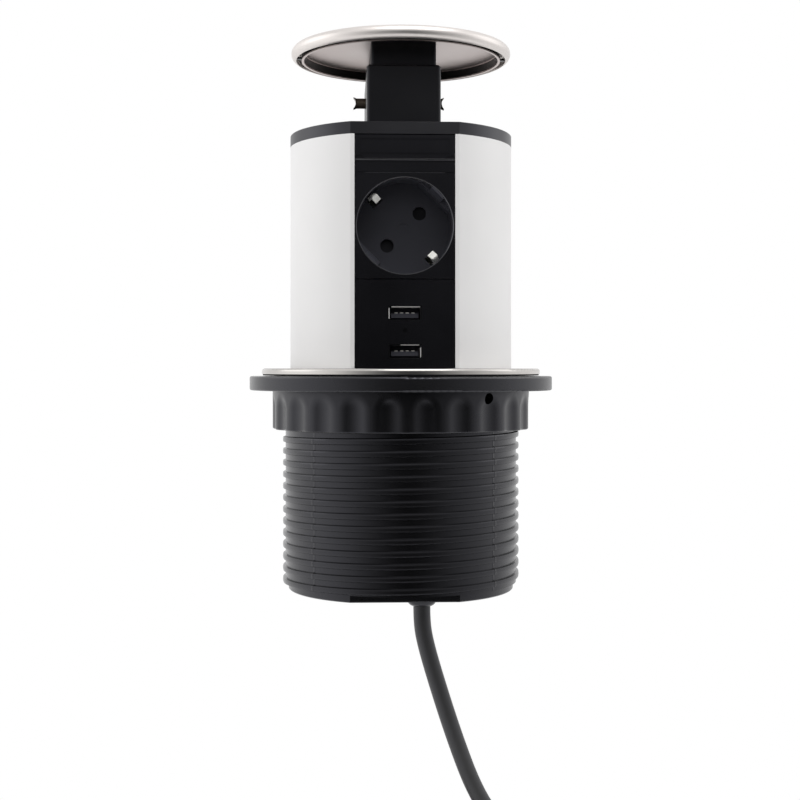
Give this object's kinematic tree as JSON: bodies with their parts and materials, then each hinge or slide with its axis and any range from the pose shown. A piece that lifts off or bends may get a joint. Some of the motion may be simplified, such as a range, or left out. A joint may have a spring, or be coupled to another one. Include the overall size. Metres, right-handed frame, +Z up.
{
  "type": "built-in power strip",
  "caption": "Pop-up worktop socket tower with a sprung steel lid, an earthed socket, charging ports and a clamp ring under the worktop.",
  "frame": {"origin": "on the tower's axis at the worktop's upper surface", "axes": "+Z up along the tower, the flat front with the sockets faces -Y, +X to the viewer's right"},
  "size_m": [0.1499, 0.13, 0.499],
  "materials": {
    "tube_plastic": "moulded, slightly satin",
    "felt_strip": "soft strip",
    "brushed_ring": "brushed round",
    "foam_rubber": "matt foam",
    "clamp_plastic": "moulded, satin",
    "nut_plastic": "moulded, satin",
    "satin_aluminium": "satin anodised",
    "cap_plastic": "satin",
    "screw_steel": "zinc plated",
    "foot_plastic": "satin",
    "inner_plastic": "natural",
    "gland_plastic": "satin",
    "wire_sheath": "smooth",
    "sleeve_metal": "satin black",
    "neck_metal": "matt black",
    "pin_bronze": "dark bronze",
    "spring_steel": "bright",
    "earth_spring": "bright",
    "shutter_plastic": "semi-matt",
    "polished_lid": "polished",
    "tray_metal": "satin",
    "panel_plastic": "semi-gloss",
    "socket_plastic": "semi-matt",
    "contact_brass": "plain",
    "port_metal": "folded sheet",
    "contact_gold": "plated",
    "lamp_guide": "clear",
    "board_laminate": "solder mask",
    "coil_tape": "tape",
    "can_sleeve": "shrink sleeve",
    "cord_rubber": "smooth sheath",
    "tie_band": "hook and loop",
    "plug_rubber": "moulded",
    "pin_nickel": "nickel plated"
  },
  "bodies": {
    "root": {"threaded_tube": "tube_plastic", "glide_strips": "felt_strip", "trim_ring": "brushed_ring", "gasket": "foam_rubber"},
    "clamp_washer": {"flange_washer": "clamp_plastic"},
    "ring_nut": {"ring_nut": "nut_plastic"},
    "tower": {"blank_module": "panel_plastic", "board_screws": "screw_steel", "cable_gland": "gland_plastic", "cap_screws": "screw_steel", "capacitors": "can_sleeve", "clamp_screws": "screw_steel", "contact_carrier": "inner_plastic", "cord": "cord_rubber", "cord_clamp": "inner_plastic", "cord_coil": "cord_rubber", "cord_entry": "cord_rubber", "cord_tail": "cord_rubber", "cord_tie": "tie_band", "cross_pin": "pin_bronze", "earth_bracket": "earth_spring", "foot_cap": "foot_plastic", "foot_screws": "screw_steel", "gland_nut": "gland_plastic", "inner_wires": "wire_sheath", "live_contacts": "contact_brass", "lower_module": "panel_plastic", "neck_sleeve": "sleeve_metal", "neck_spring_back": "spring_steel", "neck_spring_front": "spring_steel", "plug_body": "plug_rubber", "plug_earth_strips": "pin_nickel", "plug_pins": "pin_nickel", "sleeve_screws": "screw_steel", "socket_cup": "socket_plastic", "socket_module": "panel_plastic", "spacer_strip": "panel_plastic", "status_lamp": "lamp_guide", "supply_board": "board_laminate", "supply_wires": "wire_sheath", "terminal_block": "inner_plastic", "terminal_screws": "screw_steel", "top_cap": "cap_plastic", "tower_shell": "satin_aluminium", "transformer": "coil_tape", "usb_contacts": "contact_gold", "usb_module": "panel_plastic", "usb_shells": "port_metal", "usb_tongues": "socket_plastic"},
    "lid": {"lid_pan": "polished_lid", "lid_tray": "tray_metal", "inner_neck": "neck_metal", "lid_screws": "screw_steel"},
    "shutter": {"child_shutter": "shutter_plastic"}
  },
  "joints": [
    {"name": "tower_slide", "type": "slide", "parent": "root", "child": "tower", "axis": [0, 0, 1], "range_m": [-0.138, 0]},
    {"name": "lid_press", "type": "slide", "parent": "tower", "child": "lid", "axis": [0, 0, 1], "range_m": [-0.008, 0], "stiffness_N_per_m": 900, "springref_m": 0.005, "deforming": ["neck_spring_front", "neck_spring_back"]},
    {"name": "washer_slide", "type": "slide", "parent": "root", "child": "clamp_washer", "axis": [0, 0, 1], "range_m": [-0.06, 0]},
    {"name": "nut_turn", "type": "hinge", "parent": "clamp_washer", "child": "ring_nut", "pos_m": [0, 0, -0.0147], "axis": [0, 0, 1], "range_deg": [-4320, 0]},
    {"name": "shutter_turn", "type": "hinge", "parent": "tower", "child": "shutter", "pos_m": [0, -0.0215, 0.0606], "axis": [0, 1, 0], "range_deg": [0, 38], "stiffness_Nm_per_rad": 0.002, "springref_deg": -11.46}
  ],
  "couplings": [
    {"joint": "nut_turn", "follows": "washer_slide", "rad_per_m": 1256.6}
  ]
}
